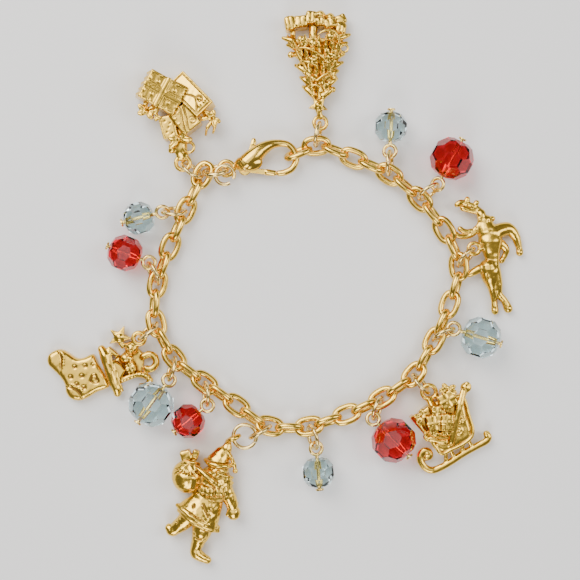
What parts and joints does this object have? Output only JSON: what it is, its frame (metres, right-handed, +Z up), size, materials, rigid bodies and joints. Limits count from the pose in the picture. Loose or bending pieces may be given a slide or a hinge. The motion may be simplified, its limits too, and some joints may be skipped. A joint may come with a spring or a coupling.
{
  "type": "charm bracelet",
  "caption": "Gold-coloured cable chain bracelet lying in a ring, with a lobster clasp, cast winter holiday charms and faceted red and clear glass beads on jump rings.",
  "frame": {"origin": "middle of the whole outline, on the table the bracelet lies on", "axes": "+Z up from the table, +Y from the middle to the side with the clasp and the tree charm, +X to the right of it seen from above"},
  "size_m": [0.0924, 0.1084, 0.0088],
  "materials": {
    "gold": "polished gold plate",
    "ring_gold": "polished pale gold plate",
    "pin_gold": "polished pale gold plate",
    "red_glass": "polished, faceted",
    "blue_glass": "polished, faceted"
  },
  "bodies": {
    "bracelet": {"chain": "gold", "clasp_body": "gold", "clasp_ring": "ring_gold", "spare_ring": "ring_gold", "ring_gifts": "ring_gold", "ring_tree": "ring_gold", "ring_reindeer": "ring_gold", "ring_sleigh": "ring_gold", "ring_father_christmas": "ring_gold", "link_ring_father_christmas": "ring_gold", "ring_stocking": "ring_gold", "ring_clear_top": "ring_gold", "ring_red_top": "ring_gold", "ring_clear_right": "ring_gold", "ring_red_lower_right": "ring_gold", "ring_clear_bottom": "ring_gold", "ring_red_lower_left": "ring_gold", "ring_clear_lower_left": "ring_gold", "ring_red_left": "ring_gold", "ring_clear_left": "ring_gold", "pin_clear_top": "pin_gold", "pin_red_top": "pin_gold", "pin_clear_right": "pin_gold", "pin_red_lower_right": "pin_gold", "pin_clear_bottom": "pin_gold", "pin_red_lower_left": "pin_gold", "pin_clear_lower_left": "pin_gold", "pin_red_left": "pin_gold", "pin_clear_left": "pin_gold", "bead_clear_top": "blue_glass", "bead_red_top": "red_glass", "bead_clear_right": "blue_glass", "bead_red_lower_right": "red_glass", "bead_clear_bottom": "blue_glass", "bead_red_lower_left": "red_glass", "bead_clear_lower_left": "blue_glass", "bead_red_left": "red_glass", "bead_clear_left": "blue_glass", "gifts": "gold", "tree": "gold", "reindeer": "gold", "sleigh": "gold", "father_christmas": "gold", "stocking": "gold"},
    "clasp_lever": {"clasp_lever": "gold"}
  },
  "joints": [
    {"name": "clasp_lever_hinge", "type": "hinge", "parent": "bracelet", "child": "clasp_lever", "pos_m": [-0.00793, 0.02331, 0.00209], "axis": [0, 0, 1], "range_deg": [0, 26], "stiffness_Nm_per_rad": 0.004, "springref_deg": -11.46}
  ]
}
